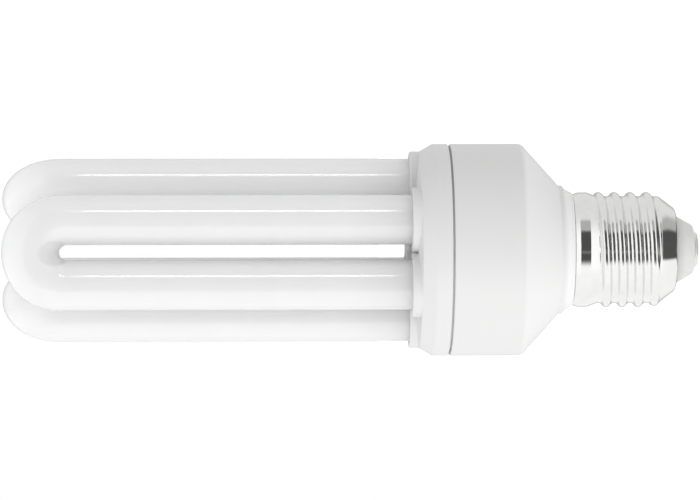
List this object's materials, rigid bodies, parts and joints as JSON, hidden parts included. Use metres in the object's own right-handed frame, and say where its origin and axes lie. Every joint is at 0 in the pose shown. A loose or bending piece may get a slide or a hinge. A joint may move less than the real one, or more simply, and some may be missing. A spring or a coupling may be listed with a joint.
{
  "type": "compact fluorescent bulb",
  "caption": "Self-ballasted fluorescent lamp: U-bent glass tubes in a white moulded holder and ballast housing, on a large Edison screw cap.",
  "frame": {"origin": "middle of the cap's contact face, on the lamp axis", "axes": "+Z along the lamp axis from the cap to the tube tips; -Y through the middle of one U"},
  "size_m": [0.048, 0.048, 0.1576],
  "materials": {
    "phosphor_glass": "gloss",
    "white_plastic": "satin",
    "nickel_plate": "polished",
    "insulator_plastic": "satin",
    "contact_metal": "satin",
    "laminate": "matte",
    "ferrite": "matte",
    "bobbin_plastic": "matte",
    "winding_copper": "satin",
    "can_sleeve": "gloss",
    "film_dip": "gloss",
    "component_black": "matte",
    "resistor_lacquer": "satin",
    "diac_glass": "gloss",
    "tinned_wire": "satin",
    "wire_sleeve": "satin"
  },
  "bodies": {
    "root": {"discharge_tube": "phosphor_glass", "tube_holder": "white_plastic", "base_housing": "white_plastic", "screw_shell": "nickel_plate", "cap_insulator": "insulator_plastic", "centre_contact": "contact_metal", "circuit_board": "laminate", "choke_core": "ferrite", "toroid_core": "ferrite", "choke_bobbin": "bobbin_plastic", "choke_winding": "winding_copper", "toroid_winding_1": "winding_copper", "toroid_winding_2": "winding_copper", "toroid_winding_3": "winding_copper", "reservoir_capacitor": "can_sleeve", "resonant_capacitor": "film_dip", "coupling_capacitor": "film_dip", "transistor_1": "component_black", "transistor_2": "component_black", "rectifier_diode_1": "component_black", "rectifier_diode_2": "component_black", "rectifier_diode_3": "component_black", "rectifier_diode_4": "component_black", "filter_inductor": "component_black", "fuse_resistor": "resistor_lacquer", "base_resistor_1": "resistor_lacquer", "base_resistor_2": "resistor_lacquer", "start_resistor": "resistor_lacquer", "diac": "diac_glass", "lead_post_1": "tinned_wire", "lead_post_2": "tinned_wire", "lead_post_3": "tinned_wire", "lead_post_4": "tinned_wire", "filament_lead_1": "tinned_wire", "filament_lead_2": "tinned_wire", "filament_lead_3": "tinned_wire", "filament_lead_4": "tinned_wire", "live_wire": "wire_sleeve", "neutral_wire": "wire_sleeve"}
  },
  "joints": []
}
